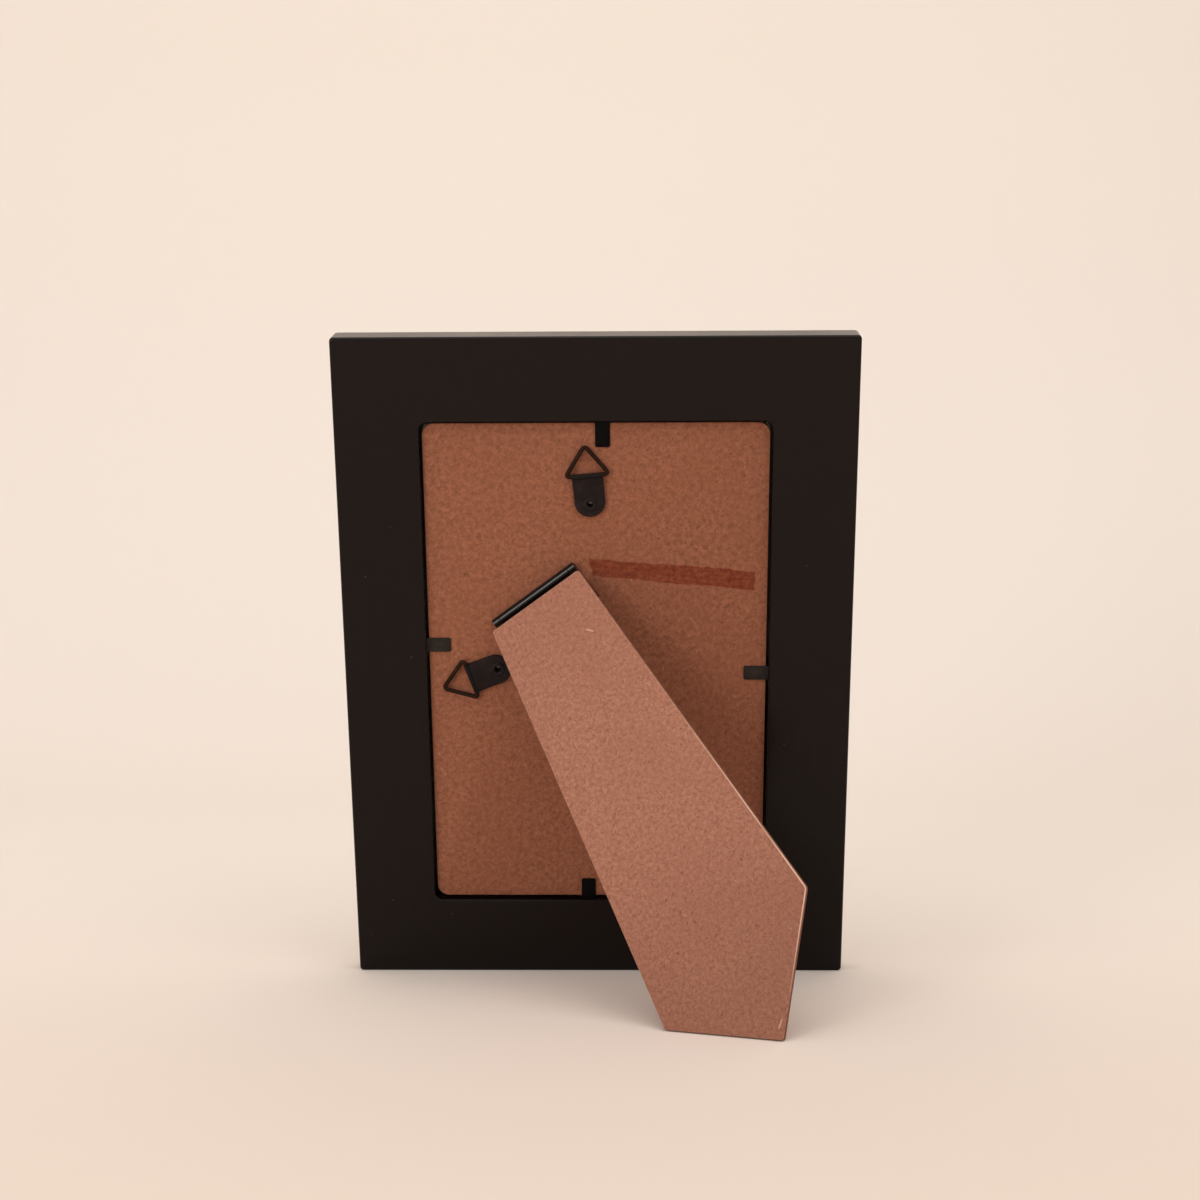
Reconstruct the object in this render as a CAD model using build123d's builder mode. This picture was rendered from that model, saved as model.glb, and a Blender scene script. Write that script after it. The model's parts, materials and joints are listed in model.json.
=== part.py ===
from build123d import *
import math
import os

# An easel back photo frame for a 10 x 15 cm print, standing in portrait, +Z up, its front towards -Y.
# The frame leans back on its lower rear edge and on the foot of a strut hinged across the back.
# Back coordinates: u to the right as seen from behind, v up the back, w out of the back face.

# Sizes, in millimetres and degrees
lean = 15.0                  # how far the frame leans back from upright
overrun = 1.0                # how far a cut runs past the face it opens

# The print, and the pieces in the rebate
print_width = 101.6
print_height = 152.4
print_thickness = 0.3
print_side_clearance = 1.2   # between the print's edge and the rebate's wall
print_end_clearance = 0.8
glass_side_clearance = 0.8
glass_end_clearance = 0.7
glass_thickness = 2.0
panel_thickness = 2.5
panel_clearance = 0.75       # between the panel's edge and the rebate's wall
panel_corner_radius = 3.6

# The moulding
frame_thickness = 12.0
rail_width = 25.0            # from the outer edge to the rebate's wall
lip_width = 5.0              # how far the lip covers the glass
panel_recess = 2.1           # from the moulding's back down to the panel
frame_corner_radius = 1.2
back_edge_radius = 0.8
front_edge_radius = 3.0
sight_edge_radius = 2.0
rebate_corner_radius = 2.8
rebate_edge_radius = 0.4

# The strut
strut_thickness = 2.5
strut_spread = 31.5          # how far the strut stands open from the panel
strut_top_margin = 1.0       # from the hinge's end to the strut's top corner
strut_top_gap = 2.8          # from the hinge's axis to the strut's top edge
strut_left_corner_along = -32.9
strut_tip_along = -5.1
strut_right_corner_along = 23.3
strut_right_corner_rise = 31.4  # from the tip up to the right corner, along the strut

# The hinge
hinge_inset = 33.3           # from the rebate's left wall to the hinge's middle
hinge_rise = 23.8            # above the frame's middle
hinge_slant = 36.7           # the axis rises to the right, as seen from behind
hinge_length = 30.4
barrel_radius = 1.5
leaf_thickness = 0.6
hinge_seat = 1.6             # from the hinge's axis to either board
end_knuckle_length = 2.2
knuckle_gap = 0.15
pin_clearance = 0.04
leaf_length = 12.0
leaf_notch_gap = 0.4         # between a leaf and the other leaf's knuckle
prong_width = 1.4
prong_depth = 1.6
prong_spread = 18.0          # between the prongs of one row
prong_first_row = 5.0        # from the hinge's axis to the first row
prong_second_row = 10.0
prong_clearance = 0.02

# The bendable tabs
tab_width = 4.4
tab_thickness = 0.42
tab_lift = 0.02              # between a tab and the panel
tab_shank_length = 8.0
tab_bend_gap = 0.05          # between a tab's leaf and the wall it leaves
tab_tip_radius = 0.6
tab_slot_clearance = 0.02
tab_top_place = 2.0          # along the top rail, from the middle
tab_top_reach = 8.0
tab_left_place = 7.7         # up the left rail, from the middle
tab_left_reach = 7.4
tab_right_place = -1.5
tab_right_reach = 7.5
tab_bottom_place = -3.4
tab_bottom_reach = 6.6

# The hangers
hanger_top_u = -1.8
hanger_top_inset = 25.1      # from the rebate's top wall to the rivet
hanger_top_turn = 95.0       # direction of the ring from the rivet
hanger_left_inset = 21.6     # from the rebate's left wall to the rivet
hanger_left_rise = 0.1       # above the frame's middle
hanger_left_turn = 200.0
strap_width = 9.2
strap_sheet = 0.55
strap_tail = 3.9             # from the rivet to the strap's rounded end
strap_reach = 8.8            # from the rivet to the ring's axis
strap_ramp = 4.0             # over which the folded sheet closes down behind the ring
strap_lift = 0.03            # between the strap and the panel
ring_wire_radius = 0.65
ring_corner_reach = 1.9      # from the strap's edge to the corner of the ring's middle line
ring_rise = 9.1              # from the ring's axis to the tip of its middle line
ring_corner_radius = 0.75    # at the middle of the wire
ring_clearance = 0.06
rivet_shank_radius = 1.3
rivet_bore_radius = 0.85
rivet_flange_radius = 2.1
rivet_flange_thickness = 0.4
rivet_flange_round = 0.15
rivet_clearance = 0.05

# Sizes that follow
rebate_width = print_width + 2 * print_side_clearance
rebate_height = print_height + 2 * print_end_clearance
half_rebate = rebate_width / 2
frame_width = rebate_width + 2 * rail_width
frame_height = rebate_height + 2 * rail_width
rebate_depth = panel_recess + panel_thickness + print_thickness + glass_thickness
sight_width = rebate_width - 2 * lip_width
sight_height = rebate_height - 2 * lip_width
glass_width = rebate_width - 2 * glass_side_clearance
glass_height = rebate_height - 2 * glass_end_clearance
panel_width = rebate_width - 2 * panel_clearance
panel_height = rebate_height - 2 * panel_clearance
middle_v = frame_height / 2
hinge_u = hinge_inset - half_rebate
hinge_v = middle_v + hinge_rise
hinge_w = hinge_seat - panel_recess
strut_top_width = hinge_length + 2 * strut_top_margin
barrel_bore_radius = hinge_seat - leaf_thickness
pin_radius = barrel_bore_radius - pin_clearance
loop_bore_radius = ring_wire_radius + ring_clearance
loop_radius = loop_bore_radius + strap_sheet
strap_thickness = 2 * strap_sheet
strap_base = -panel_recess + strap_lift
ring_w = strap_base + loop_radius

# The back face's plane: its origin is the sharp lower edge of the moulding's back, at the middle.
# The rounded lower edge touches the floor, and the whole part is centred over the origin from front to back.
sin_lean = math.sin(math.radians(lean))
cos_lean = math.cos(math.radians(lean))
floor_drop = back_edge_radius * (1 - cos_lean - sin_lean)
across = Vector(-1, 0, 0)
upward = Vector(0, sin_lean, cos_lean)
outward = Vector(0, cos_lean, -sin_lean)

# The strut's directions: along the hinge, down the strut, and out of its outer face
slant = math.radians(hinge_slant)
spread = math.radians(strut_spread)
hinge_along = across * math.cos(slant) + upward * math.sin(slant)
hinge_down = across * math.sin(slant) - upward * math.cos(slant)
strut_down = hinge_down * math.cos(spread) + outward * math.sin(spread)
strut_out = outward * math.cos(spread) - hinge_down * math.sin(spread)


def hinge_point(start):
    return start + across * hinge_u + upward * hinge_v + outward * hinge_w


# The floor line across the strut's inner face, as a distance down the strut from the hinge's axis
floor_start = hinge_point(Vector(0, 0, floor_drop)) + strut_out * hinge_seat


def foot_down(along):
    return -(floor_start + hinge_along * along).Z / strut_down.Z


strut_tip_down = foot_down(strut_tip_along)
strut_right_corner_down = strut_tip_down - strut_right_corner_rise
tip_reach = (
    hinge_point(Vector(0, 0, 0))
    + hinge_along * strut_tip_along
    + strut_down * strut_tip_down
    + strut_out * (hinge_seat + strut_thickness)
).Y
front_reach = front_edge_radius * (1 - sin_lean) + (frame_thickness - front_edge_radius) * cos_lean
back_origin = Vector(0, (front_reach - tip_reach) / 2, floor_drop)
hinge_origin = hinge_point(back_origin)
folded_plane = Plane(hinge_origin, x_dir=hinge_along, z_dir=outward)
strut_plane = Plane(hinge_origin, x_dir=hinge_along, z_dir=strut_out)


def back_point(u, v, w):
    return back_origin + across * u + upward * v + outward * w


def back_level(w):
    # the plane of the back at some depth, centred on the frame
    return Plane(back_point(0, middle_v, w), x_dir=across, z_dir=outward)


os.makedirs("parts", exist_ok=True)


def save(piece, name):
    piece.label = name
    export_step(piece, f"parts/{name}.step")


# The four tabs: where each leaves the rebate's wall, which way it points and how far it reaches
tabs = {
    "top": (tab_top_place, frame_height - rail_width, -90, tab_top_reach),
    "left": (-half_rebate, middle_v + tab_left_place, 0, tab_left_reach),
    "right": (half_rebate, middle_v + tab_right_place, 180, tab_right_reach),
    "bottom": (tab_bottom_place, rail_width, 90, tab_bottom_reach),
}
tab_base = tab_lift - panel_recess


def tab_plane(u, v, turn):
    # on the underside of the tab at the wall, x along the tab and out of the wall
    pointing = across * math.cos(math.radians(turn)) + upward * math.sin(math.radians(turn))
    return Plane(back_point(u, v, tab_base), x_dir=pointing, z_dir=outward)


# Moulding: one board with the sight opening and the rebate routed out of it
with BuildPart() as frame_moulding:
    with BuildSketch(back_level(0)):
        RectangleRounded(frame_width, frame_height, frame_corner_radius)
    extrude(amount=-frame_thickness)
    fillet(frame_moulding.faces().sort_by(Axis(back_origin, outward))[-1].edges(), back_edge_radius)
    fillet(frame_moulding.faces().sort_by(Axis(back_origin, outward))[0].edges(), front_edge_radius)
    with BuildSketch(back_level(-frame_thickness - overrun)):
        Rectangle(sight_width, sight_height)
    extrude(amount=frame_thickness + 2 * overrun, mode=Mode.SUBTRACT)
    front_face = frame_moulding.faces().sort_by(Axis(back_origin, outward))[0]
    fillet(front_face.inner_wires()[0].edges(), sight_edge_radius)
    with BuildSketch(back_level(-rebate_depth)):
        RectangleRounded(rebate_width, rebate_height, rebate_corner_radius)
    extrude(amount=rebate_depth + overrun, mode=Mode.SUBTRACT)
    back_face = frame_moulding.faces().sort_by(Axis(back_origin, outward))[-1]
    fillet(back_face.inner_wires()[0].edges(), rebate_edge_radius)
    for tab_u, tab_v, tab_turn, tab_reach in tabs.values():
        slot_width = tab_width + 2 * tab_slot_clearance
        slot_height = tab_thickness + 2 * tab_slot_clearance
        slot_length = tab_shank_length + tab_slot_clearance
        with BuildSketch(tab_plane(tab_u, tab_v, tab_turn).offset(-tab_slot_clearance)):
            Rectangle(slot_length, slot_width, align=(Align.MAX, Align.CENTER))
        extrude(amount=slot_height, mode=Mode.SUBTRACT)
save(frame_moulding.part, "frame_moulding")

# Glass on the rebate's lip, with the print's sheet on it, both with corners that suit the routed rebate
with BuildPart() as glass_pane:
    with BuildSketch(back_level(-rebate_depth)):
        RectangleRounded(glass_width, glass_height, rebate_corner_radius)
    extrude(amount=glass_thickness)
save(glass_pane.part, "glass_pane")

with BuildPart() as photo_insert:
    with BuildSketch(back_level(glass_thickness - rebate_depth)):
        RectangleRounded(print_width, print_height, rebate_corner_radius)
    extrude(amount=print_thickness)
save(photo_insert.part, "photo_insert")

# The two hangers: the rivet's place and the way the ring points
hangers = {
    "top": (hanger_top_u, middle_v + rebate_height / 2 - hanger_top_inset, hanger_top_turn),
    "left": (hanger_left_inset - half_rebate, middle_v + hanger_left_rise, hanger_left_turn),
}


def hanger_plane(u, v, turn, w):
    # at the rivet, x towards the ring
    pointing = across * math.cos(math.radians(turn)) + upward * math.sin(math.radians(turn))
    return Plane(back_point(u, v, w), x_dir=pointing, z_dir=outward)


# The prongs of either leaf, in two rows below the hinge's axis
prong_sides = (-prong_spread / 2, prong_spread / 2)
prong_rows = (-prong_first_row, -prong_second_row)
prong_centres = [(side, row) for row in prong_rows for side in prong_sides]


# Panel: with the rivets' holes, counterbored at the front, and pockets for the hinge's prongs
rivet_tail_radius = rivet_flange_radius + rivet_clearance
with BuildPart() as back_panel:
    with BuildSketch(back_level(-panel_recess)):
        RectangleRounded(panel_width, panel_height, panel_corner_radius)
    extrude(amount=-panel_thickness)
    for hanger_u, hanger_v, hanger_turn in hangers.values():
        with BuildSketch(hanger_plane(hanger_u, hanger_v, hanger_turn, -panel_recess - panel_thickness)):
            Circle(rivet_shank_radius + rivet_clearance)
        extrude(amount=panel_thickness + overrun, mode=Mode.SUBTRACT)
        with BuildSketch(hanger_plane(hanger_u, hanger_v, hanger_turn, -panel_recess - panel_thickness)):
            Circle(rivet_tail_radius)
        extrude(amount=rivet_flange_thickness, mode=Mode.SUBTRACT)
    with BuildSketch(folded_plane.offset(-hinge_seat)):
        with Locations(*prong_centres):
            Rectangle(prong_width + 2 * prong_clearance, leaf_thickness + 2 * prong_clearance)
    extrude(amount=-(prong_depth + prong_clearance), mode=Mode.SUBTRACT)
save(back_panel.part, "back_panel")

# Hinge: the panel's leaf carries the two end knuckles, the strut's leaf the long middle one
middle_knuckle_length = hinge_length - 2 * (end_knuckle_length + knuckle_gap)
end_knuckle_place = (hinge_length - end_knuckle_length) / 2
notch_down = barrel_radius + leaf_notch_gap
notch_reach = middle_knuckle_length + 2 * knuckle_gap
hinge_cross_plane = Plane(hinge_origin, x_dir=hinge_down, z_dir=hinge_along)


with BuildPart() as hinge_panel_leaf:
    with BuildSketch(folded_plane.offset(-hinge_seat)):
        Rectangle(hinge_length, leaf_length, align=(Align.CENTER, Align.MAX))
        Rectangle(notch_reach, 2 * notch_down, mode=Mode.SUBTRACT)
    extrude(amount=leaf_thickness)
    for side in (-1, 1):
        with BuildSketch(hinge_cross_plane.offset(side * end_knuckle_place)):
            Circle(barrel_radius)
        extrude(amount=end_knuckle_length / 2, both=True)
    with BuildSketch(hinge_cross_plane):
        Circle(barrel_bore_radius)
    extrude(amount=hinge_length / 2 + overrun, both=True, mode=Mode.SUBTRACT)
    with BuildSketch(folded_plane.offset(-hinge_seat)):
        with Locations(*prong_centres):
            Rectangle(prong_width, leaf_thickness)
    extrude(amount=-prong_depth)
save(hinge_panel_leaf.part, "hinge_panel_leaf")

end_notch_width = 2 * (end_knuckle_length + knuckle_gap)
with BuildPart() as hinge_strut_leaf:
    with BuildSketch(strut_plane.offset(hinge_seat)):
        Rectangle(hinge_length, leaf_length, align=(Align.CENTER, Align.MAX))
        with Locations((-hinge_length / 2, 0), (hinge_length / 2, 0)):
            Rectangle(end_notch_width, 2 * notch_down, mode=Mode.SUBTRACT)
    extrude(amount=-leaf_thickness)
    with BuildSketch(hinge_cross_plane):
        Circle(barrel_radius)
    extrude(amount=middle_knuckle_length / 2, both=True)
    with BuildSketch(hinge_cross_plane):
        Circle(barrel_bore_radius)
    extrude(amount=hinge_length / 2 + overrun, both=True, mode=Mode.SUBTRACT)
    with BuildSketch(strut_plane.offset(hinge_seat)):
        with Locations(*prong_centres):
            Rectangle(prong_width, leaf_thickness)
    extrude(amount=prong_depth)
save(hinge_strut_leaf.part, "hinge_strut_leaf")

with BuildPart() as hinge_pin:
    with BuildSketch(hinge_cross_plane):
        Circle(pin_radius)
    extrude(amount=hinge_length / 2, both=True)
save(hinge_pin.part, "hinge_pin")

# Strut: its foot is cut to lie on the floor, and its right end to stand the frame on its side
with BuildPart() as easel_strut:
    with BuildSketch(strut_plane.offset(hinge_seat)):
        with BuildLine():
            Polyline(
                (-strut_top_width / 2, -strut_top_gap),
                (strut_top_width / 2, -strut_top_gap),
                (strut_right_corner_along, -strut_right_corner_down),
                (strut_tip_along, -strut_tip_down),
                (strut_left_corner_along, -foot_down(strut_left_corner_along)),
                close=True,
            )
        make_face()
    extrude(amount=strut_thickness)
    with BuildSketch(strut_plane.offset(hinge_seat)):
        with Locations(*prong_centres):
            Rectangle(prong_width + 2 * prong_clearance, leaf_thickness + 2 * prong_clearance)
    extrude(amount=prong_depth + prong_clearance, mode=Mode.SUBTRACT)
save(easel_strut.part, "easel_strut")

# Tabs: each strip is a shank in the moulding's slot and a leaf that bends at the wall
for tab_name, (tab_u, tab_v, tab_turn, tab_reach) in tabs.items():
    wall_plane = tab_plane(tab_u, tab_v, tab_turn)
    with BuildPart() as tab_shank:
        with BuildSketch(wall_plane):
            Rectangle(tab_shank_length, tab_width, align=(Align.MAX, Align.CENTER))
        extrude(amount=tab_thickness)
    save(tab_shank.part, f"tab_{tab_name}_shank")

    with BuildPart() as tab_leaf:
        with BuildSketch(wall_plane) as leaf_outline:
            with Locations((tab_bend_gap, 0)):
                Rectangle(tab_reach - tab_bend_gap, tab_width, align=(Align.MIN, Align.CENTER))
            tip_corners = leaf_outline.vertices().sort_by(Axis(wall_plane.origin, wall_plane.x_dir))[-2:]
            fillet(tip_corners, tab_tip_radius)
        extrude(amount=tab_thickness)
    save(tab_leaf.part, f"tab_{tab_name}_leaf")

# Hangers: a sheet strap folded round the base of a triangular wire ring, and a hollow rivet
strap_end_centre = strap_width / 2 - strap_tail
ring_half_base = strap_width / 2 + ring_corner_reach
for hanger_name, (hanger_u, hanger_v, hanger_turn) in hangers.items():
    seat_plane = hanger_plane(hanger_u, hanger_v, hanger_turn, strap_base)
    side_plane = Plane(seat_plane.origin, x_dir=seat_plane.x_dir, z_dir=seat_plane.y_dir * -1)
    ring_plane = hanger_plane(hanger_u, hanger_v, hanger_turn, ring_w)

    with BuildPart() as strap:
        with BuildSketch(side_plane) as fold_profile:
            with Locations((strap_reach, loop_radius)):
                Circle(loop_radius)
            with BuildLine():
                Polyline(
                    (-strap_tail, 0),
                    (strap_reach, 0),
                    (strap_reach, 2 * loop_radius),
                    (strap_reach - strap_ramp, strap_thickness),
                    (-strap_tail, strap_thickness),
                    close=True,
                )
            make_face()
            with Locations((strap_reach, loop_radius)):
                Circle(loop_bore_radius, mode=Mode.SUBTRACT)
        extrude(amount=strap_width / 2, both=True)
        with BuildSketch(seat_plane):
            with Locations((strap_end_centre, 0)):
                Rectangle(strap_width, strap_width + overrun, align=(Align.MAX, Align.CENTER))
                Circle(strap_width / 2, mode=Mode.SUBTRACT)
            Circle(rivet_shank_radius + rivet_clearance)
        extrude(amount=strap_thickness + overrun, mode=Mode.SUBTRACT)
    save(strap.part, f"hanger_{hanger_name}_strap")

    with BuildPart() as ring:
        with BuildLine(ring_plane) as ring_path:
            FilletPolyline(
                (strap_reach, ring_half_base),
                (strap_reach + ring_rise, 0),
                (strap_reach, -ring_half_base),
                radius=ring_corner_radius,
                close=True,
            )
        with BuildSketch(Plane(ring_path.line @ 0, z_dir=ring_path.line % 0)):
            Circle(ring_wire_radius)
        sweep(path=ring_path.line)
    save(ring.part, f"hanger_{hanger_name}_ring")

    tail_w = -panel_recess - panel_thickness
    rivet_plane = hanger_plane(hanger_u, hanger_v, hanger_turn, tail_w)
    rivet_profile = Plane(rivet_plane.origin, x_dir=rivet_plane.x_dir, z_dir=rivet_plane.y_dir * -1)
    flange_low = strap_base + strap_thickness + strap_lift - tail_w
    rivet_top = flange_low + rivet_flange_thickness
    with BuildPart() as rivet:
        with BuildSketch(rivet_profile):
            with BuildLine():
                Polyline(
                    (rivet_bore_radius, 0),
                    (rivet_flange_radius, 0),
                    (rivet_flange_radius, rivet_flange_thickness),
                    (rivet_shank_radius, rivet_flange_thickness),
                    (rivet_shank_radius, flange_low),
                    (rivet_flange_radius, flange_low),
                    (rivet_flange_radius, rivet_top),
                    (rivet_bore_radius, rivet_top),
                    close=True,
                )
            make_face()
        revolve(axis=Axis(rivet_plane.origin, outward))
        rim = rivet.faces().sort_by(Axis(rivet_plane.origin, outward))[-1]
        fillet(rim.edges(), rivet_flange_round)
    save(rivet.part, f"hanger_{hanger_name}_rivet")
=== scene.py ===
import json
import math

import bmesh
import bpy
from mathutils import Matrix, Vector


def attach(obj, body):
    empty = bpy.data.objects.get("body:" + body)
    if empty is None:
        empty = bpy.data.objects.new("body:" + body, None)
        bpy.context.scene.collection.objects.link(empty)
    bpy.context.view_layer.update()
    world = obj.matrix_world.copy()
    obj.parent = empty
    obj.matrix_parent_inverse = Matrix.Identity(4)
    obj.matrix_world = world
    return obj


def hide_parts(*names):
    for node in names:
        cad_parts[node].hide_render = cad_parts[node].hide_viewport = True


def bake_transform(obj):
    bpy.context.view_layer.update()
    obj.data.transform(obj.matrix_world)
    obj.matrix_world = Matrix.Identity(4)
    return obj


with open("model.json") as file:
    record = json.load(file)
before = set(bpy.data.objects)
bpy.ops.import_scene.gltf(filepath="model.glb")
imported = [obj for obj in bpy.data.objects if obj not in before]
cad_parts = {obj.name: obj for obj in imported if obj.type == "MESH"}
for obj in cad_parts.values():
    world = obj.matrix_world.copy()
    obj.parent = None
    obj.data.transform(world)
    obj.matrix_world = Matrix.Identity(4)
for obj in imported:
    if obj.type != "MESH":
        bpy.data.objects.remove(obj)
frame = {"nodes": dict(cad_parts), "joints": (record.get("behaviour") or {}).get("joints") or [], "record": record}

mm = 0.001
near = 0.01 * mm  # a point this close to a place counts as there
weld = 0.001 * mm  # points this close become one
sharp = math.radians(50)  # sheet metal is eased where it turns by more than this
easeSteps = 2
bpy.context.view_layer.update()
jointAt = {joint["name"]: joint for joint in frame["joints"]}
mountAt = {mount["name"]: mount for mount in frame["record"]["mounts"]}
print("frame loaded,", len(frame["nodes"]), "nodes")

# the back's own directions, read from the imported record
back = {"thickness": 12 * mm, "height": 204 * mm, "panelRecess": 2.1 * mm}
upward = -Vector(mountAt["bottom_face"]["axis"])
outward = Vector(jointAt["hanger_top_swivel"]["axis"])
across = upward.cross(outward)  # to the right, as seen from behind
backFoot = Vector(mountAt["bottom_face"]["pos_m"]) + outward * back["thickness"] / 2


def seat(origin, along, out):  # a plane to build on, x along it and z out of it
    plane = Matrix((along, out.cross(along), out)).transposed().to_4x4()
    plane.translation = origin
    return plane


def srgb(red, green, blue):  # a colour as it is seen on a screen, 0 to 255
    parts = [c / 255 for c in (red, green, blue)]
    return tuple(c / 12.92 if c < 0.04045 else ((c + 0.055) / 1.055) ** 2.4 for c in parts) + (1,)


# modelling helpers

def clearSelection():
    bpy.ops.object.select_all(action="DESELECT")


def startPiece(name):  # the primitive that was just added, opened for editing
    piece = bpy.context.object
    piece.name = piece.data.name = name
    bpy.ops.object.mode_set(mode="EDIT")
    pickAll()
    return piece


def startSheet(name, length, width, place=(0, 0, 0)):  # a flat rectangle, opened for editing
    clearSelection()
    bpy.ops.mesh.primitive_plane_add(size=1)
    sheet = startPiece(name)
    bpy.ops.transform.resize(value=(length, width, 1), center_override=(0, 0, 0))
    bpy.ops.transform.translate(value=place)
    return sheet


def drawLine(name, points):  # one vertex, pulled out from point to point
    clearSelection()
    bpy.ops.mesh.primitive_plane_add(size=mm)
    line = startPiece(name)
    bpy.ops.mesh.merge(type="CENTER")
    bpy.ops.transform.translate(value=points[0])
    for here, there in zip(points, points[1:]):
        step = Vector(there) - Vector(here)
        bpy.ops.mesh.extrude_vertices_move(TRANSFORM_OT_translate={"value": step})
    return line


def pickAll():
    bpy.ops.mesh.select_mode(type="VERT")
    bpy.ops.mesh.select_all(action="SELECT")


def pick(kind, test):  # selects what lies wholly where the test says
    bpy.ops.mesh.select_mode(type=kind)
    bpy.ops.mesh.select_all(action="DESELECT")
    mesh = bmesh.from_edit_mesh(bpy.context.object.data)
    for part in {"VERT": mesh.verts, "EDGE": mesh.edges}[kind]:
        points = [part.co] if kind == "VERT" else [v.co for v in part.verts]
        part.select_set(all(test(p) for p in points))
    mesh.select_flush_mode()
    bmesh.update_edit_mesh(bpy.context.object.data)


def pullEdges(step):
    bpy.ops.mesh.extrude_edges_move(TRANSFORM_OT_translate={"value": step})


def pullFaces(step):
    bpy.ops.mesh.extrude_region_move(TRANSFORM_OT_translate={"value": step})


def weldAll():
    pickAll()
    bpy.ops.mesh.remove_doubles(threshold=weld)


def faceOut():
    pickAll()
    bpy.ops.mesh.normals_make_consistent(inside=False)


def stopEditing():
    bpy.ops.object.mode_set(mode="OBJECT")


def addModifier(piece, kind, **settings):
    modifier = piece.modifiers.new(kind.title(), kind)
    for name, value in settings.items():
        setattr(modifier, name, value)
    bpy.context.view_layer.objects.active = piece
    bpy.ops.object.modifier_apply(modifier=modifier.name)


def easeEdges(piece, arris):
    addModifier(piece, "BEVEL", width=arris, segments=easeSteps, limit_method="ANGLE", angle_limit=sharp)


def boreHole(piece, place, bore):  # cuts a round hole through a finished piece
    clearSelection()
    bpy.ops.mesh.primitive_cylinder_add(
        vertices=bore["sides"], radius=bore["radius"], depth=bore["depth"], location=place)
    drill = bpy.context.object
    addModifier(piece, "BOOLEAN", object=drill, operation="DIFFERENCE", solver="EXACT")
    bpy.data.objects.remove(drill)


def endPiece(piece, plane, smooth=35):  # closes editing and puts the mesh on its plane
    if piece.mode == "EDIT":
        stopEditing()
    clearSelection()
    piece.select_set(True)
    bpy.context.view_layer.objects.active = piece
    piece.data.transform(plane)
    bpy.ops.object.shade_smooth_by_angle(angle=math.radians(smooth))
    return piece


def carry(piece, body, slot, *nodes):
    if body:
        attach(piece, body)
    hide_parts(*nodes)


def coverWith(piece, *materials):  # every face goes back to the first of them
    piece.data.materials.clear()
    for material in materials:
        piece.data.materials.append(material)


# shader helpers

class Wire:  # a shader socket that can be used in sums
    def __init__(self, tree, socket=None):
        self.tree = tree
        self.socket = socket

    def node(self, kind, settings=None, sockets=None, out=0):
        made = self.tree.nodes.new("ShaderNode" + kind)
        for name, value in (settings or {}).items():
            setattr(made, name, value)
        for name, value in (sockets or {}).items():
            if isinstance(value, Wire):
                self.tree.links.new(value.socket, made.inputs[name])
            else:
                made.inputs[name].default_value = value
        return Wire(self.tree, made.outputs[out])

    def sum(self, operation, *values):
        return self.node("Math", {"operation": operation}, dict(enumerate(values)))

    def __add__(self, other):
        return self.sum("ADD", self, other)

    def __radd__(self, other):
        return self.sum("ADD", other, self)

    def __sub__(self, other):
        return self.sum("SUBTRACT", self, other)

    def __rsub__(self, other):
        return self.sum("SUBTRACT", other, self)

    def __mul__(self, other):
        return self.sum("MULTIPLY", self, other)

    def __rmul__(self, other):
        return self.sum("MULTIPLY", other, self)

    def __abs__(self):
        return self.sum("ABSOLUTE", self)

    def fade(self, low, high):  # 0 at low, 1 at high, whichever is the larger
        settings = {"interpolation_type": "SMOOTHSTEP"}
        return self.node("MapRange", settings, {"Value": self, "From Min": low, "From Max": high})

    def noise(self, size, detail=2, rough=0.5, wave=0):
        sockets = {"Vector": self, "Scale": 1 / size, "Detail": detail, "Roughness": rough, "Distortion": wave}
        return self.node("TexNoise", None, sockets)

    def stretch(self, turn, pull):  # a pattern drawn out along one direction in its plane
        sockets = {"Vector": self, "Rotation": (0, 0, math.radians(turn)), "Scale": (pull, 1, 1)}
        return self.node("Mapping", {"vector_type": "TEXTURE"}, sockets)

    def onPlane(self, plane):  # object coordinates measured on a plane of the object
        sockets = {"Vector": self, "Location": plane.translation, "Rotation": plane.to_euler()}
        return self.node("Mapping", {"vector_type": "TEXTURE"}, sockets)

    def mix(self, first, second):  # this mask runs from the first colour to the second
        sockets = {0: self, 6: first, 7: second}
        return self.node("Mix", {"data_type": "RGBA"}, sockets, 2)

    def axes(self):  # the three numbers of a place
        parts = self.node("SeparateXYZ", None, {"Vector": self}).socket.node
        return [Wire(self.tree, socket) for socket in parts.outputs]


def newMaterial(name, **constants):
    material = bpy.data.materials.new(name)
    material.use_nodes = True
    shader = material.node_tree.nodes["Principled BSDF"]
    for socket, value in constants.items():
        shader.inputs[socket.replace("_", " ")].default_value = value
    return material, shader, Wire(material.node_tree).node("TexCoord", out="Object")


def feed(shader, socket, wire):
    wire.tree.links.new(wire.socket, shader.inputs[socket])


def roughen(shader, height, strength, depth):
    sockets = {"Height": height, "Strength": strength, "Distance": depth}
    feed(shader, "Normal", height.node("Bump", None, sockets))


# hardboard: felted fibres, dark shives and pale hairs over a slow change of tone

felt = {
    "turns": (8, 52, 97, 141), "fibres": 0.7, "mottle": 0.3, "contrast": (0.38, 0.62),
    "shiveTurn": 33, "shivePull": 1.8, "shiveSize": 1.5, "shiveFade": (0.69, 0.76),
    "hairTurn": 118, "hairPull": 4, "hairFade": (0.72, 0.79),
    "gloss": 0.2, "rough": 0.74, "uneven": 0.2, "depth": 0.1 * mm,
}
scuffMark = {"broken": 0.5 * mm, "ragged": 2, "bow": 60, "core": 0.3, "taper": 0.6}


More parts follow.
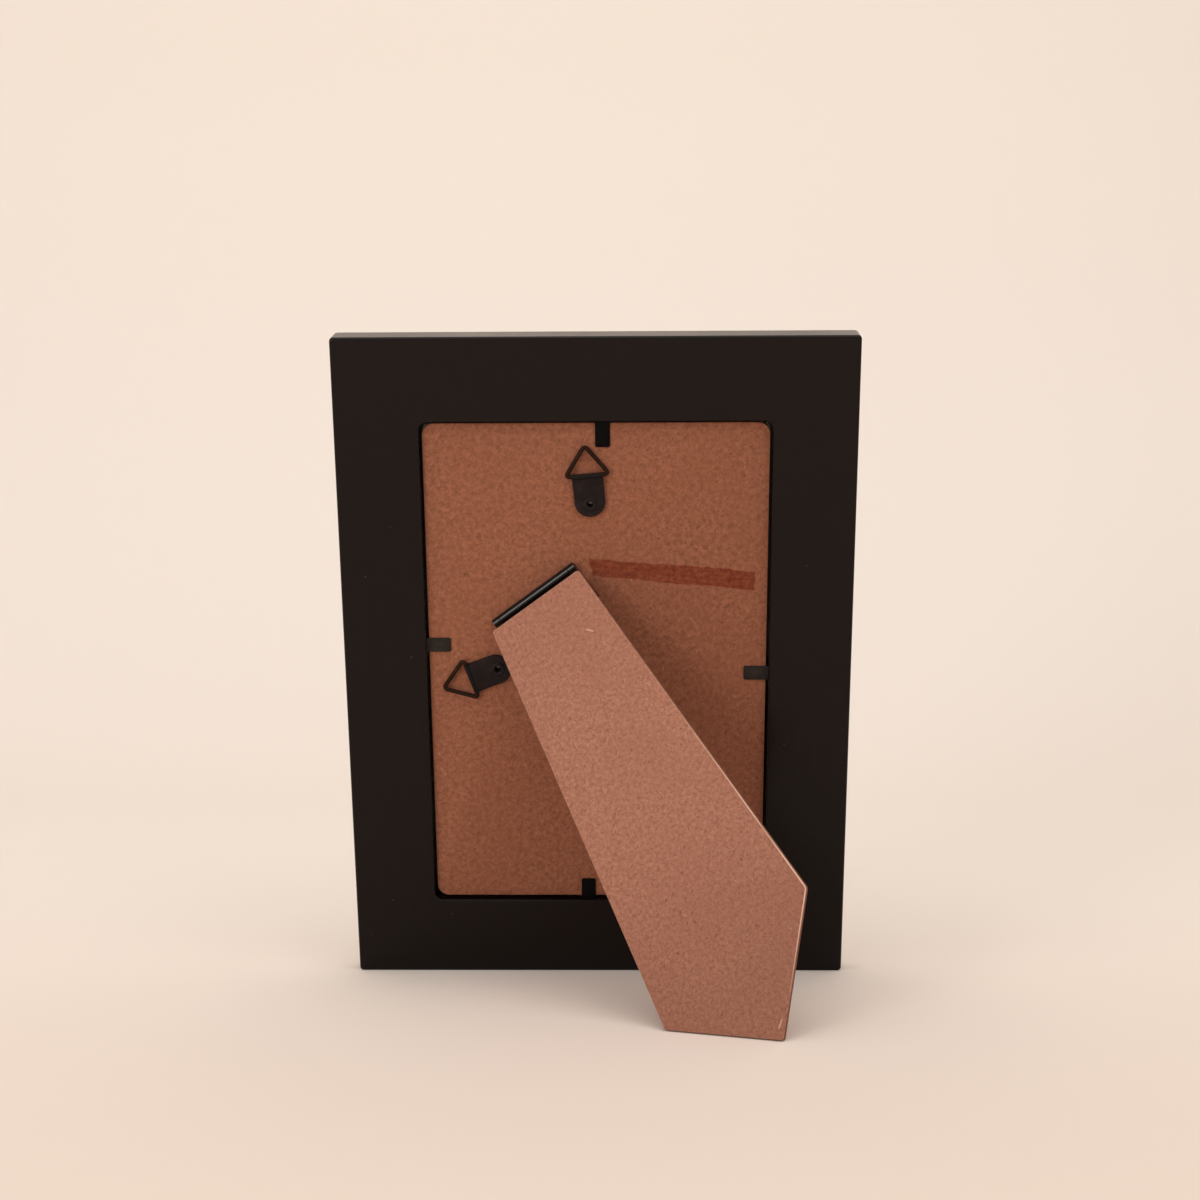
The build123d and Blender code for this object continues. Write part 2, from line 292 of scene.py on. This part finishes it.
def scuffAt(flat, x, y, turn, length, width):  # a short bowed scratch with a broken edge
    mark = Matrix.Translation((x * mm, y * mm, 0)) @ Matrix.Rotation(math.radians(turn), 4, "Z")
    along, aside, off = flat.onPlane(mark).axes()
    broken = flat.noise(scuffMark["broken"], 2, 0.6) - 0.5
    bowed = aside + along * along * (scuffMark["bow"] / length) + broken * width * scuffMark["ragged"] * mm
    within = abs(bowed).fade(width * mm, width * scuffMark["core"] * mm)
    return within * abs(along).fade(length * mm, length * scuffMark["taper"] * mm)


def inkOf(stroke, flat, mottle):  # where the marker went, and how thickly
    lane = flat.onPlane(stroke["plane"])
    along, aside, off = lane.axes()
    soft, half, reach = stroke["soft"], stroke["half"], stroke["reach"]
    edge = (lane.stretch(0, 1.6).noise(stroke["ragged"], 3, 0.6) - 0.5) * stroke["waver"]
    drift = (lane.stretch(0, 1.4).noise(stroke["wander"], 1, 0.5) - 0.5) * stroke["drift"]
    wide = abs(aside + edge + drift).fade(half + soft, half - soft)
    start = (along + aside * stroke["skew"] + edge * 2).fade(-reach - soft, soft - reach)
    stop = (along + edge * 2).fade(reach + soft, reach - soft)
    streaks = lane.stretch(0, 14).noise(stroke["ragged"] * 0.4, 2, 0.5).fade(0.35, 0.65)
    bare = mottle.fade(0.45, 0.65) * stroke["patchy"]
    return wide * start * stop * (stroke["ink"] + streaks * stroke["streaks"] - bare)


def hardboard(name, finish, plane, stroke=None, scuffs=()):
    material, shader, here = newMaterial(name, Specular_IOR_Level=felt["gloss"])
    flat = here.onPlane(plane)
    size = finish["fibre"]
    layers = [flat.stretch(turn, finish["pull"]).noise(size, 3, 0.62, 0.4) for turn in felt["turns"]]
    fibres = (layers[0] + layers[1] + layers[2] + layers[3]) * 0.25
    mottle = flat.noise(finish["mottle"], 4, 0.62, 0.2)
    cloud = flat.noise(finish["cloud"], 2, 0.5)
    shives = flat.stretch(felt["shiveTurn"], felt["shivePull"]).noise(size * felt["shiveSize"], 1, 0.5)
    shives = shives.fade(*felt["shiveFade"])
    hairs = flat.stretch(felt["hairTurn"], felt["hairPull"]).noise(size, 1, 0.5, 1.5).fade(*felt["hairFade"])
    tone = fibres * felt["fibres"] + mottle * felt["mottle"]
    colour = tone.fade(*felt["contrast"]).mix(finish["dark"], finish["light"])
    colour = (cloud.fade(0.3, 0.7) * finish["cloudy"]).mix(colour, finish["shade"])
    colour = (shives * finish["shives"]).mix(colour, finish["shive"])
    colour = (hairs * finish["hairs"]).mix(colour, finish["hair"])
    if "paintedShadeSpan" in finish:  # painted shade: darker towards one end, where less light falls
        side, rise, off = flat.axes()
        colour = (rise.fade(*finish["paintedShadeSpan"]) * finish["paintedShadeDepth"]).mix(colour, finish["shive"])
    if "worn" in finish:  # pale wear along the edges of one side, partly a painted highlight where those edges catch too little lamp light
        side, rise, off = flat.axes()
        paleWearAndHighlight = side.fade(*finish["wornSide"]) * rise.fade(*finish["wornRise"]) * cloud.fade(0.2, 0.45)
        colour = paleWearAndHighlight.mix(colour, finish["worn"])
    for *mark, strength in scuffs:
        colour = (scuffAt(flat, *mark) * strength).mix(colour, finish["hair"])
    if stroke:
        inked = tone.fade(0.4, 0.6).mix(stroke["deep"], stroke["colour"])
        colour = inkOf(stroke, flat, mottle).mix(colour, inked)
    feed(shader, "Base Color", colour)
    feed(shader, "Roughness", felt["rough"] + fibres * felt["uneven"])
    roughen(shader, fibres + hairs * 0.4 - shives * 0.3, finish["tooth"], felt["depth"])
    return material


# boards: a flat outline, thickened and eased

edgeTilt = {"face": 0.97, "cut": 0.25}  # how far a face's normal lies out of the board


def thicken(thickness, way, arris):
    pickAll()
    pullFaces((0, 0, way * thickness))
    faceOut()
    ends = (0, way * thickness)
    pick("EDGE", lambda p: min(abs(p.z - z) for z in ends) < near)
    bpy.ops.mesh.bevel(offset=arris, segments=easeSteps, affect="EDGES")


def paintEdges(board, out):  # the second material on the cut edges, the third on the eased ones
    for face in board.data.polygons:
        tilt = abs(face.normal.dot(out))
        face.material_index = 0 if tilt > edgeTilt["face"] else 1 if tilt < edgeTilt["cut"] else 2


# back panel

panelBoard = {
    "width": 102.5 * mm, "height": 152.5 * mm, "thickness": 2.5 * mm, "arris": 0.22 * mm,
    "corner": 3.6 * mm, "cornerSteps": 10,
    "fibre": 0.75 * mm, "pull": 2.4, "mottle": 1.7 * mm, "cloud": 26 * mm, "cloudy": 0.3, "tooth": 0.14,
    "dark": srgb(119, 72, 51), "light": srgb(158, 100, 75), "shade": srgb(134, 80, 56),
    "shive": srgb(92, 52, 36), "shives": 0.6, "hair": srgb(192, 138, 110), "hairs": 0.4,
}
panelCut = dict(panelBoard, dark=srgb(92, 54, 37), light=srgb(128, 78, 54), cloudy=0.2)
panelArris = dict(panelBoard, dark=srgb(120, 72, 50), light=srgb(158, 104, 80))
panelPlane = seat(backFoot + upward * back["height"] / 2 - outward * back["panelRecess"], across, outward)
markerStroke = {
    "plane": Matrix.Translation((22.9 * mm, 29.9 * mm, 0)) @ Matrix.Rotation(math.radians(-4.9), 4, "Z"),
    "half": 2.75 * mm, "reach": 24.7 * mm, "soft": 0.2 * mm, "skew": 0.4,
    "ragged": 2.2 * mm, "waver": 1.0 * mm, "wander": 11 * mm, "drift": 1.6 * mm,
    "ink": 0.8, "streaks": 0.15, "patchy": 0.12, "colour": srgb(128, 57, 31), "deep": srgb(100, 40, 22),
}
rivetBore = {"radius": 1.35 * mm, "depth": 10 * mm, "sides": 40}


def makePanel():
    panel = startSheet("backPanel", panelBoard["width"], panelBoard["height"])
    bpy.ops.mesh.bevel(offset=panelBoard["corner"], segments=panelBoard["cornerSteps"], affect="VERTICES")
    thicken(panelBoard["thickness"], -1, panelBoard["arris"])
    stopEditing()
    for name in ("top", "left"):
        place = panelPlane.inverted() @ Vector(jointAt[f"hanger_{name}_swivel"]["pos_m"])
        boreHole(panel, place, rivetBore)
    return endPiece(panel, panelPlane)


panel = makePanel()
coverWith(panel, hardboard("panelFace", panelBoard, panelPlane, markerStroke),
          hardboard("panelCut", panelCut, panelPlane), hardboard("panelArris", panelArris, panelPlane))
paintEdges(panel, outward)
carry(panel, "frame", "panel_board", "back_panel")
print("back panel made")

# strut

strutBoard = {
    "corners": [(-16.2, -2.8), (16.2, -2.8), (23.3, -117.945), (-5.1, -149.345), (-32.9, -129.173)],
    "thickness": 2.5 * mm, "seat": 1.6 * mm, "arris": 0.33 * mm, "corner": 0.6 * mm, "cornerSteps": 4,
    "fibre": 0.5 * mm, "pull": 2.2, "mottle": 1.2 * mm, "cloud": 32 * mm, "cloudy": 0.35, "tooth": 0.14,
    "dark": srgb(135, 87, 69), "light": srgb(178, 124, 101), "shade": srgb(148, 96, 77),
    "shive": srgb(100, 60, 46), "shives": 0.65, "hair": srgb(212, 166, 144), "hairs": 0.5,
    # painted shade: the strut is darkened towards its foot, where less light falls
    "paintedShadeSpan": (-65 * mm, -150 * mm), "paintedShadeDepth": 0.3,
}
strutScuffs = [  # place, turn, half length, half width and strength
    (9.6, -20.3, -48, 1.5, 0.3, 0.75),
    (11.4, -26.3, -93, 0.9, 0.2, 0.4),
    (-14.9, -28.2, 82, 2.4, 0.18, 0.3),
    (-13, -40.6, 95, 0.7, 0.22, 0.4),
    (-3.4, -145.1, 37, 1.8, 0.26, 0.7),
]
strutCut = dict(strutBoard, dark=srgb(108, 66, 46), light=srgb(146, 94, 70), cloudy=0.2)
# the strut's arris: paler on one side, partly wear and partly a painted highlight
strutArris = dict(strutBoard, dark=srgb(140, 92, 73), light=srgb(184, 132, 108), cloudy=0.1,
                  worn=srgb(216, 177, 155), wornSide=(-2 * mm, 22 * mm), wornRise=(-40 * mm, -110 * mm))
hingeFold = jointAt["strut_fold"]
hingeAlong = Vector(hingeFold["axis"])
hingeDown = hingeAlong.cross(outward)
spread = math.radians(hingeFold["range_deg"][1])
strutOut = outward * math.cos(spread) - hingeDown * math.sin(spread)
strutPlane = seat(Vector(hingeFold["pos_m"]) + strutOut * strutBoard["seat"], hingeAlong, strutOut)


def makeStrut():
    strut = drawLine("easelStrut", [(x * mm, y * mm, 0) for x, y in strutBoard["corners"]])
    pickAll()
    bpy.ops.mesh.edge_face_add()
    bpy.ops.mesh.bevel(offset=strutBoard["corner"], segments=strutBoard["cornerSteps"], affect="VERTICES")
    thicken(strutBoard["thickness"], 1, strutBoard["arris"])
    return endPiece(strut, strutPlane)


strut = makeStrut()
coverWith(strut, hardboard("strutFace", strutBoard, strutPlane, scuffs=strutScuffs),
          hardboard("strutCut", strutCut, strutPlane), hardboard("strutArris", strutArris, strutPlane))
paintEdges(strut, strutOut)
carry(strut, "strut", "strut_board", "easel_strut")
print("strut made")

# black steel of the tabs, hinge and hangers

steel = {
    "tab": {"colour": srgb(8, 7, 7), "worn": srgb(20, 17, 16),
            "rough": 0.4, "uneven": 0.14, "shine": 0.05, "grit": 0.1},
    # side tabs: the tab steel painted lighter, a painted sheen for the light that the side tabs catch at their
    # angle
    "paintedSheenSideTab": {"colour": srgb(38, 33, 29), "worn": srgb(58, 50, 44),
                "rough": 0.4, "uneven": 0.14, "shine": 0.1, "grit": 0.1},
    "hinge": {"colour": srgb(14, 9, 7), "worn": srgb(26, 19, 16),
              "rough": 0.11, "uneven": 0.06, "shine": 0.3, "grit": 0.02},
    "strap": {"colour": srgb(25, 17, 16), "worn": srgb(44, 32, 30),
              "rough": 0.4, "uneven": 0.14, "shine": 0.14, "grit": 0.1},
    "ring": {"colour": srgb(36, 20, 12), "worn": srgb(62, 39, 26),
             "rough": 0.3, "uneven": 0.14, "shine": 0.07, "grit": 0.08},
}
japan = {"patch": 4 * mm, "grit": 0.35 * mm, "depth": 0.04 * mm, "patches": 0.6, "grits": 0.4, "foldShadeDepth": 0.8}


def blackSteel(name, finish, foldShade=None):
    material, shader, here = newMaterial(name, Specular_IOR_Level=finish["shine"])
    patch = here.noise(japan["patch"], 3, 0.6)
    grit = here.noise(japan["grit"], 3, 0.6)
    worn = patch.fade(0.5, 0.75) * japan["patches"] + grit.fade(0.62, 0.8) * japan["grits"]
    colour = worn.mix(finish["colour"], finish["worn"])
    if foldShade:  # painted shade: darker round the fold, where the fold's own shade falls
        plane, low, high = foldShade
        along, aside, off = here.onPlane(plane).axes()
        colour = (along.fade(low, high) * japan["foldShadeDepth"]).mix(colour, steel["tab"]["colour"])
    feed(shader, "Base Color", colour)
    feed(shader, "Roughness", finish["rough"] + patch * finish["uneven"])
    roughen(shader, grit, finish["grit"], japan["depth"])
    return material


steelOf = {name: blackSteel(name + "Steel", finish) for name, finish in steel.items()}

# hinge: the strut's leaf, with its edge rolled round the pin

hingeLeaf = {
    "sheet": 0.58 * mm, "arris": 0.09 * mm, "smooth": 22, "knuckle": 25.7 * mm,
    "shoulder": 2.35 * mm, "shoulderFrom": 3.5 * mm,  # below this the plate is wider than the knuckle
    "roll": 1.21 * mm, "rollFrom": 12, "rollTo": 338, "rollSteps": 26,
    "set": [(12.0, 1.3), (3.6, 1.3), (3.15, 1.2), (2.7, 0.9), (2.2, 0.58), (1.75, 0.42)],  # down, and out
}


def makeHingeLeaf():
    width, first, last = hingeLeaf["knuckle"], hingeLeaf["rollFrom"], hingeLeaf["rollTo"]
    path = [(down * mm, out * mm) for down, out in hingeLeaf["set"]]
    for step in range(hingeLeaf["rollSteps"] + 1):
        turn = math.radians(first + (last - first) * step / hingeLeaf["rollSteps"])
        path.append((math.cos(turn) * hingeLeaf["roll"], math.sin(turn) * hingeLeaf["roll"]))
    points = [(-width / 2, -down, out - strutBoard["seat"]) for down, out in path]
    leaf = drawLine("hingeStrutLeaf", points)
    pickAll()
    pullEdges((width, 0, 0))
    for way in (-1, 1):
        pick("EDGE", lambda p: p.x * way > width / 2 - near and p.y < -hingeLeaf["shoulderFrom"])
        pullEdges((way * hingeLeaf["shoulder"], 0, 0))
    weldAll()
    faceOut()
    stopEditing()
    addModifier(leaf, "SOLIDIFY", thickness=hingeLeaf["sheet"], offset=0)
    easeEdges(leaf, hingeLeaf["arris"])
    return endPiece(leaf, strutPlane, hingeLeaf["smooth"])


hingeStrutLeaf = makeHingeLeaf()
coverWith(hingeStrutLeaf, steelOf["hinge"])
carry(hingeStrutLeaf, "strut", "black_steel", "hinge_strut_leaf")
print("hinge leaf made")

# tabs: one strip each, from the moulding's slot out over the panel

tabStrip = {
    "width": 4.4 * mm, "thickness": 0.42 * mm, "shank": 8 * mm, "arris": 0.07 * mm,
    "tip": 0.6 * mm, "tipSteps": 5, "bend": 1.3 * mm, "bendRows": 8,
    "reach": {"top": 8.0 * mm, "left": 7.4 * mm, "right": 7.5 * mm, "bottom": 6.6 * mm},
    "steel": {"top": "tab", "left": "paintedSheenSideTab", "right": "paintedSheenSideTab", "bottom": "tab"},
}


def makeTab(name):
    bend = jointAt[f"tab_{name}_bend"]
    pointing = outward.cross(Vector(bend["axis"]))
    wall = Vector(bend["pos_m"]) - outward * tabStrip["thickness"]
    reach = tabStrip["reach"][name]
    length = tabStrip["shank"] + reach
    tab = startSheet(f"tab{name.title()}", length, tabStrip["width"], (reach - length / 2, 0, 0))
    pick("VERT", lambda p: p.x > 0)
    bpy.ops.mesh.bevel(offset=tabStrip["tip"], segments=tabStrip["tipSteps"], affect="VERTICES")
    for row in range(tabStrip["bendRows"] + 1):  # rows for the strip to bend at
        pickAll()
        place = tabStrip["bend"] * row / tabStrip["bendRows"]
        bpy.ops.mesh.bisect(plane_co=(place, 0, 0), plane_no=(1, 0, 0))
    pickAll()
    pullFaces((0, 0, tabStrip["thickness"]))
    faceOut()
    stopEditing()
    easeEdges(tab, tabStrip["arris"])
    endPiece(tab, seat(wall, pointing, outward))
    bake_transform(tab)
    carry(tab, None, "black_steel", f"tab_{name}_shank", f"tab_{name}_leaf")
    coverWith(tab, steelOf[tabStrip["steel"][name]])


for tabName in tabStrip["reach"]:
    makeTab(tabName)
print("tabs made")

# hangers: a folded strap, a bent wire ring and a hollow rivet

strapSheet = {
    # the span of painted shade back from the fold comes first among these sizes
    "width": 9.2 * mm, "sheet": 0.55 * mm, "filled": 0.97, "arris": 0.1 * mm, "foldShade": (1.3 * mm, 0.7 * mm),
    "tail": 3.9 * mm, "tailRound": 0.497, "tailSteps": 14, "reach": 8.8 * mm, "loop": 0.985 * mm, "loopSteps": 14,
    "ramp": 4.0 * mm,
    "fold": [(0, 1), (0.3, 0.7), (0.65, 0.3), (1, 0)],  # share of the ramp, and of the drop left there
}
ringWire = {
    "half": 6.5 * mm, "rise": 9.1 * mm, "corner": 1.35 * mm, "cornerSteps": 7, "wire": 0.65 * mm, "wireSteps": 5,
    "smooth": 60,
}
rivet = {  # radius and height above the strap's underside, up the bore and down the outside
    "profile": [(0.85, -2.53), (0.85, 0.75), (0.93, 1.08), (1.12, 1.36), (1.4, 1.5), (1.7, 1.5), (1.96, 1.4),
                (2.1, 1.24), (2.05, 1.13), (1.3, 1.13), (1.3, -2.13), (2.1, -2.13), (2.1, -2.53), (0.85, -2.53)],
    "steps": 40, "smooth": 50,
}


def makeStrap(name, plane):
    sheet, loop, reach, tail = (strapSheet[size] for size in ("sheet", "loop", "reach", "tail"))
    low = sheet / 2
    middle = ((reach - tail) / 2, 0, low)
    strap = startSheet(f"hanger{name}Strap", tail + reach, strapSheet["width"], middle)
    pick("EDGE", lambda p: p.x > reach - near)
    bpy.ops.mesh.spin(steps=strapSheet["loopSteps"], angle=math.pi, center=(reach, 0, low + loop), axis=(0, -1, 0))
    top, upper = low + 2 * loop, low + sheet
    path = [(reach - strapSheet["ramp"] * place, upper + (top - upper) * height)
            for place, height in strapSheet["fold"]]
    for here, there in zip(path, path[1:] + [(-tail, upper)]):  # back over the lower layer to the tail
        pick("EDGE", lambda p: abs(p.x - here[0]) + abs(p.z - here[1]) < 2 * near)
        pullEdges((there[0] - here[0], 0, there[1] - here[1]))
    pick("VERT", lambda p: p.x < near - tail)
    rounding = strapSheet["width"] * strapSheet["tailRound"]
    bpy.ops.mesh.bevel(offset=rounding, segments=strapSheet["tailSteps"], affect="VERTICES")
    faceOut()
    stopEditing()
    addModifier(strap, "SOLIDIFY", thickness=sheet * strapSheet["filled"], offset=0)
    boreHole(strap, (0, 0, 0), rivetBore)
    easeEdges(strap, strapSheet["arris"])
    return endPiece(strap, plane)


def makeRing(name, plane):
    clearSelection()
    bpy.ops.mesh.primitive_circle_add(vertices=3, radius=mm)
    ring = startPiece(f"hanger{name}Ring")
    bpy.ops.transform.rotate(value=math.pi / 2, orient_axis="Z", center_override=(0, 0, 0))
    mesh = bmesh.from_edit_mesh(ring.data)
    if max(v.co.x for v in mesh.verts) < 0.9 * mm:  # the tip points towards the ring's far end
        bpy.ops.transform.rotate(value=math.pi, orient_axis="Z", center_override=(0, 0, 0))
    scale = (ringWire["rise"] / (1.5 * mm), 2 * ringWire["half"] / (math.sqrt(3) * mm), 1)
    bpy.ops.transform.resize(value=scale, center_override=(0, 0, 0))
    bpy.ops.transform.translate(value=(ringWire["rise"] / 3, 0, 0))
    bpy.ops.mesh.bevel(offset=ringWire["corner"], segments=ringWire["cornerSteps"], affect="VERTICES")
    stopEditing()
    bpy.ops.object.convert(target="CURVE")
    ring.data.bevel_depth = ringWire["wire"]
    ring.data.bevel_resolution = ringWire["wireSteps"]
    bpy.ops.object.convert(target="MESH")
    return endPiece(ring, plane, ringWire["smooth"])


def makeRivet(name, plane):
    profile = [(radius * mm, 0, height * mm) for radius, height in rivet["profile"]]
    eyelet = drawLine(f"hanger{name}Rivet", profile)
    weldAll()
    pickAll()
    bpy.ops.mesh.spin(steps=rivet["steps"], angle=2 * math.pi, center=(0, 0, 0), axis=(0, 0, 1))
    weldAll()
    faceOut()
    return endPiece(eyelet, plane, rivet["smooth"])


for side in ("top", "left"):
    swivel = Vector(jointAt[f"hanger_{side}_swivel"]["pos_m"])
    swing = Vector(jointAt[f"ring_{side}_swing"]["pos_m"])
    pointing = ((swing - swivel) - outward * (swing - swivel).dot(outward)).normalized()
    strapPlane = seat(swivel, pointing, outward)
    strap = makeStrap(side.title(), strapPlane)
    # painted shade round the strap's fold
    foldShade = (strapPlane, *(strapSheet["reach"] - before for before in strapSheet["foldShade"]))
    coverWith(strap, blackSteel(f"strap{side.title()}Steel", steel["strap"], foldShade))
    carry(strap, f"hanger_{side}", "black_steel", f"hanger_{side}_strap")
    ring = makeRing(side.title(), seat(swing, pointing, outward))
    coverWith(ring, steelOf["ring"])
    carry(ring, f"ring_{side}", "black_steel", f"hanger_{side}_ring")
    eyelet = makeRivet(side.title(), strapPlane)
    coverWith(eyelet, steelOf["strap"])
    carry(eyelet, "frame", "black_steel", f"hanger_{side}_rivet")
print("hangers made")

# finishes of the moulding, hinge, glass and sheet

lacquer = {
    "colour": srgb(16, 8, 6), "gloss": 0.17, "rough": 0.13, "smear": 22 * mm, "smeared": 0.14,
    "peel": 1.1 * mm, "peeled": 0.05, "depth": 0.06 * mm,
    "dust": srgb(150, 140, 130), "dustApart": 7 * mm, "dustSize": (0.026, 0.012), "dusty": 0.5, "dustRough": 0.3,
}
pane = {"tint": (0.95, 0.985, 0.97, 1), "shadow": (0.93, 0.96, 0.95, 1), "bending": 1.5}
paper = {
    "pale": srgb(238, 236, 230), "shade": srgb(232, 229, 222), "cloud": 40 * mm, "gloss": 0.4,
    "tooth": 0.4 * mm, "toothed": 0.06, "depth": 0.05 * mm, "rough": 0.4, "uneven": 0.15,
}


def blackLacquer():
    material, shader, here = newMaterial("blackLacquer", Specular_IOR_Level=lacquer["gloss"])
    smear = here.noise(lacquer["smear"], 3, 0.6)
    peel = here.noise(lacquer["peel"], 2, 0.5)
    speck = here.node("TexVoronoi", None, {"Vector": here, "Scale": 1 / lacquer["dustApart"]})
    speck = speck.fade(*lacquer["dustSize"])
    feed(shader, "Base Color", (speck * lacquer["dusty"]).mix(lacquer["colour"], lacquer["dust"]))
    rough = lacquer["rough"] + smear * lacquer["smeared"] + speck * lacquer["dustRough"]
    feed(shader, "Roughness", rough)
    roughen(shader, peel, lacquer["peeled"], lacquer["depth"])
    return material


def clearGlass():  # lamps shine straight through it
    material, shader, here = newMaterial(
        "clearGlass", Base_Color=pane["tint"], IOR=pane["bending"], Transmission_Weight=1.0, Roughness=0.0)
    lamps = here.node("LightPath", out="Is Shadow Ray")
    clear = here.node("BsdfTransparent", None, {"Color": pane["shadow"]})
    glass = Wire(material.node_tree, shader.outputs[0])
    both = here.node("MixShader", None, {0: lamps, 1: glass, 2: clear})
    feed(material.node_tree.nodes["Material Output"], "Surface", both)
    return material


def photoPaper():
    material, shader, here = newMaterial("photoPaper", Specular_IOR_Level=paper["gloss"])
    cloud = here.noise(paper["cloud"], 2, 0.5)
    tooth = here.noise(paper["tooth"], 3, 0.6)
    feed(shader, "Base Color", cloud.fade(0.3, 0.7).mix(paper["pale"], paper["shade"]))
    feed(shader, "Roughness", paper["rough"] + tooth * paper["uneven"])
    roughen(shader, tooth, paper["toothed"], paper["depth"])
    return material


coverings = {
    "frame_moulding": blackLacquer(), "glass_pane": clearGlass(), "photo_insert": photoPaper(),
    "hinge_panel_leaf": steelOf["hinge"], "hinge_pin": steelOf["hinge"],
}
for node, material in coverings.items():
    coverWith(frame["nodes"][node], material)
print("finishes set")

# floor, light and camera

studio = {
    "floor": srgb(232, 214, 200), "wall": srgb(246, 235, 225), "change": (-0.35, 0.3), "gloss": 0.1, "rough": 0.95,
    "reach": 3.0, "behind": -0.9, "height": 2.2, "sweep": 0.5, "sweepSteps": 24, "smooth": 60, "slack": 0.01,
    "world": srgb(255, 250, 244), "worldLevel": 0.6, "aim": (0, 0, 0.1),
    "key": {"place": (0.88, 1.2, 0.4), "size": 0.6, "power": 6.4},
    "side": {"place": (-0.8, 1.2, 0.9), "size": 1.0, "power": 1.9},
    "top": {"place": (0.0, 0.5, 1.3), "size": 1.4, "power": 7.6},
}
photoCamera = {
    "place": (-0.01096, 0.56802, 0.14372), "turn": (87.628, 0.175, -179.002), "lens": 57.17, "sensor": 36.0,
    "nearest": 0.01,
}


def makeStage():  # a floor that sweeps up into a wall behind the object
    reach, behind, slack = studio["reach"], studio["behind"], studio["slack"]
    floor = startSheet("floor", 2 * reach, 2 * reach, (0, reach + behind, 0))
    pick("EDGE", lambda p: p.y < behind + slack)
    pullEdges((0, 0, studio["height"]))
    pick("EDGE", lambda p: p.y < behind + slack and p.z < slack)
    bpy.ops.mesh.bevel(offset=studio["sweep"], segments=studio["sweepSteps"], affect="EDGES")
    pickAll()
    bpy.ops.mesh.normals_make_consistent(inside=True)
    endPiece(floor, Matrix.Identity(4), studio["smooth"])
    material, shader, here = newMaterial(
        "floorPaper", Roughness=studio["rough"], Specular_IOR_Level=studio["gloss"])
    depth = here.axes()[1]
    feed(shader, "Base Color", depth.fade(*studio["change"]).mix(studio["wall"], studio["floor"]))
    coverWith(floor, material)


def makeLamp(name, lamp):
    light = bpy.data.lights.new(name, "AREA")
    light.shape = "DISK"
    light.size = lamp["size"]
    light.energy = lamp["power"]
    holder = bpy.data.objects.new(name, light)
    bpy.context.collection.objects.link(holder)
    holder.location = lamp["place"]
    holder.rotation_euler = (Vector(studio["aim"]) - Vector(lamp["place"])).to_track_quat("-Z", "Y").to_euler()


def makeCamera():
    lens = bpy.data.cameras.new("photoCamera")
    lens.lens = photoCamera["lens"]
    lens.sensor_width = photoCamera["sensor"]
    lens.clip_start = photoCamera["nearest"]
    holder = bpy.data.objects.new("photoCamera", lens)
    bpy.context.collection.objects.link(holder)
    holder.location = photoCamera["place"]
    holder.rotation_euler = [math.radians(a) for a in photoCamera["turn"]]
    bpy.context.scene.camera = holder


def makeWorld():
    world = bpy.data.worlds.new("softRoom")
    world.use_nodes = True
    background = world.node_tree.nodes["Background"]
    background.inputs["Color"].default_value = studio["world"]
    background.inputs["Strength"].default_value = studio["worldLevel"]
    bpy.context.scene.world = world


makeStage()
for lampName in ("key", "side", "top"):
    makeLamp(lampName + "Lamp", studio[lampName])
makeCamera()
makeWorld()
bpy.context.scene.view_settings.view_transform = "Standard"
print("stage, lamps and camera set")
